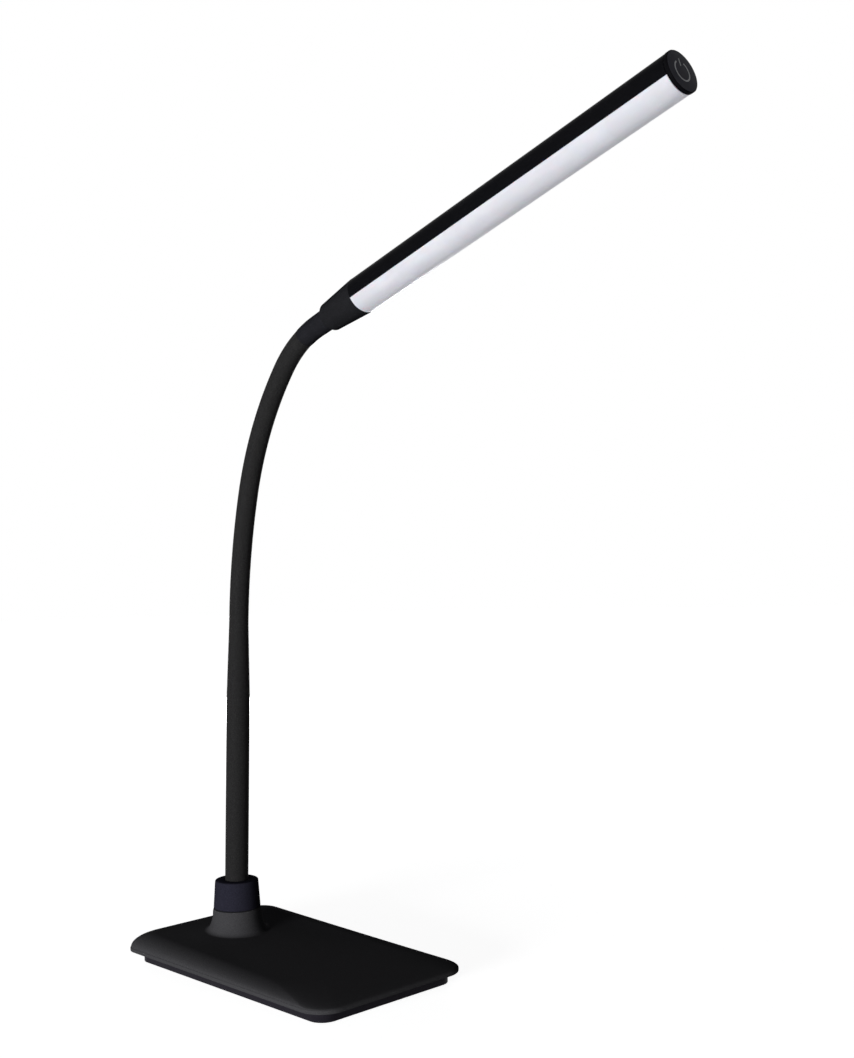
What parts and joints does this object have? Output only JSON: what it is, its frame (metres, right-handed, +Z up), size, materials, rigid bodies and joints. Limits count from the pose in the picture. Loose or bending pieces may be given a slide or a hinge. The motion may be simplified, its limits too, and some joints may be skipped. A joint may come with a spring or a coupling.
{
  "type": "gooseneck desk lamp",
  "caption": "Desk lamp with a flat rectangular base, a bendable gooseneck on a turning collar, and a slim round bar head with a diffuser below and a touch cap at its end.",
  "frame": {"origin": "on the desk, under the middle of the base", "axes": "+Z up, +X the way the neck leans and the head reaches, +Y the lamp's left"},
  "size_m": [0.3629, 0.1054, 0.4426],
  "materials": {
    "shell_plastic": "glossy black moulding",
    "tray_plastic": "fine matt moulding",
    "pad_rubber": "matt foam rubber",
    "zinc_steel": "zinc plated",
    "weight_steel": "rolled plate",
    "jack_plastic": "matt",
    "nickel": "nickel plated",
    "circuit_board": "green solder mask",
    "component_black": "moulded components",
    "lead_insulation": "insulated lead",
    "bushing_plastic": "natural acetal",
    "fitting_steel": "turned steel",
    "collar_plastic": "satin, dark blue-grey",
    "sleeve_rubber": "satin silicone",
    "conduit_steel": "spiral-wound steel",
    "cuff_rubber": "satin, dark blue-grey",
    "cone_plastic": "satin, dark blue-grey",
    "housing_black": "glossy black coating",
    "diffuser_white": "frosted white",
    "board_aluminium": "white solder mask",
    "led_phosphor": "phosphor",
    "cap_plastic": "satin face",
    "contact_copper": "copper alloy"
  },
  "bodies": {
    "base": {"base_shell": "shell_plastic", "base_cover": "tray_plastic", "base_pad": "pad_rubber", "cover_screws": "zinc_steel", "counterweight": "weight_steel", "counterweight_screws": "zinc_steel", "dc_jack": "jack_plastic", "jack_pin": "nickel", "driver_board": "circuit_board", "driver_parts": "component_black", "base_leads": "lead_insulation", "swivel_bushing": "bushing_plastic"},
    "collar": {"neck_collar": "collar_plastic", "lower_ferrule": "fitting_steel", "swivel_washer": "fitting_steel", "swivel_nut": "fitting_steel", "neck_sleeve_1": "sleeve_rubber", "neck_conduit_1": "conduit_steel", "neck_lead_1": "lead_insulation"},
    "link_2": {"neck_sleeve_2": "sleeve_rubber", "neck_conduit_2": "conduit_steel", "neck_lead_2": "lead_insulation"},
    "link_3": {"neck_sleeve_3": "sleeve_rubber", "neck_conduit_3": "conduit_steel", "neck_lead_3": "lead_insulation"},
    "link_4": {"neck_sleeve_4": "sleeve_rubber", "neck_conduit_4": "conduit_steel", "neck_lead_4": "lead_insulation"},
    "link_5": {"neck_sleeve_5": "sleeve_rubber", "neck_conduit_5": "conduit_steel", "neck_lead_5": "lead_insulation"},
    "link_6": {"neck_sleeve_6": "sleeve_rubber", "neck_conduit_6": "conduit_steel", "neck_lead_6": "lead_insulation"},
    "link_7": {"neck_sleeve_7": "sleeve_rubber", "neck_conduit_7": "conduit_steel", "neck_lead_7": "lead_insulation"},
    "link_8": {"neck_sleeve_8": "sleeve_rubber", "neck_conduit_8": "conduit_steel", "neck_lead_8": "lead_insulation"},
    "head": {"neck_sleeve_9": "sleeve_rubber", "neck_conduit_9": "conduit_steel", "neck_lead_9": "lead_insulation", "neck_cuff": "cuff_rubber", "head_cone": "cone_plastic", "upper_ferrule": "fitting_steel", "head_nut": "fitting_steel", "cone_screw": "zinc_steel", "head_housing": "housing_black", "diffuser": "diffuser_white", "led_board": "board_aluminium", "leds": "led_phosphor", "head_leads": "lead_insulation", "board_screws": "zinc_steel", "end_cap": "cap_plastic", "touch_plate": "contact_copper", "touch_board": "circuit_board", "touch_spring": "contact_copper"}
  },
  "joints": [
    {"name": "neck_swivel", "type": "hinge", "parent": "base", "child": "collar", "pos_m": [-0.0493, 0, 0.0278], "axis": [0, 0, 1], "range_deg": [-90, 90]},
    {"name": "neck_bend_1", "type": "hinge", "parent": "collar", "child": "link_2", "pos_m": [-0.04843, 0, 0.06268], "axis": [0, 1, 0], "range_deg": [-22, 11]},
    {"name": "neck_side_2", "type": "hinge", "parent": "link_2", "child": "link_3", "pos_m": [-0.04671, 0, 0.10365], "axis": [0.9991, 0, -0.0419], "range_deg": [-15, 15]},
    {"name": "neck_bend_3", "type": "hinge", "parent": "link_3", "child": "link_4", "pos_m": [-0.04499, 0, 0.14461], "axis": [0, 1, 0], "range_deg": [-22, 11]},
    {"name": "neck_side_4", "type": "hinge", "parent": "link_4", "child": "link_5", "pos_m": [-0.04328, 0, 0.18557], "axis": [0.9991, 0, -0.0419], "range_deg": [-15, 15]},
    {"name": "neck_bend_5", "type": "hinge", "parent": "link_5", "child": "link_6", "pos_m": [-0.03985, 0, 0.22641], "axis": [0, 1, 0], "range_deg": [-22, 11]},
    {"name": "neck_side_6", "type": "hinge", "parent": "link_6", "child": "link_7", "pos_m": [-0.0319, 0, 0.26661], "axis": [0.9685, 0, -0.2491], "range_deg": [-15, 15]},
    {"name": "neck_bend_7", "type": "hinge", "parent": "link_7", "child": "link_8", "pos_m": [-0.01722, 0, 0.3048], "axis": [0, 1, 0], "range_deg": [-22, 11]},
    {"name": "neck_bend_8", "type": "hinge", "parent": "link_8", "child": "head", "pos_m": [0.00589, 0, 0.33853], "axis": [0, 1, 0], "range_deg": [-22, 11]}
  ]
}
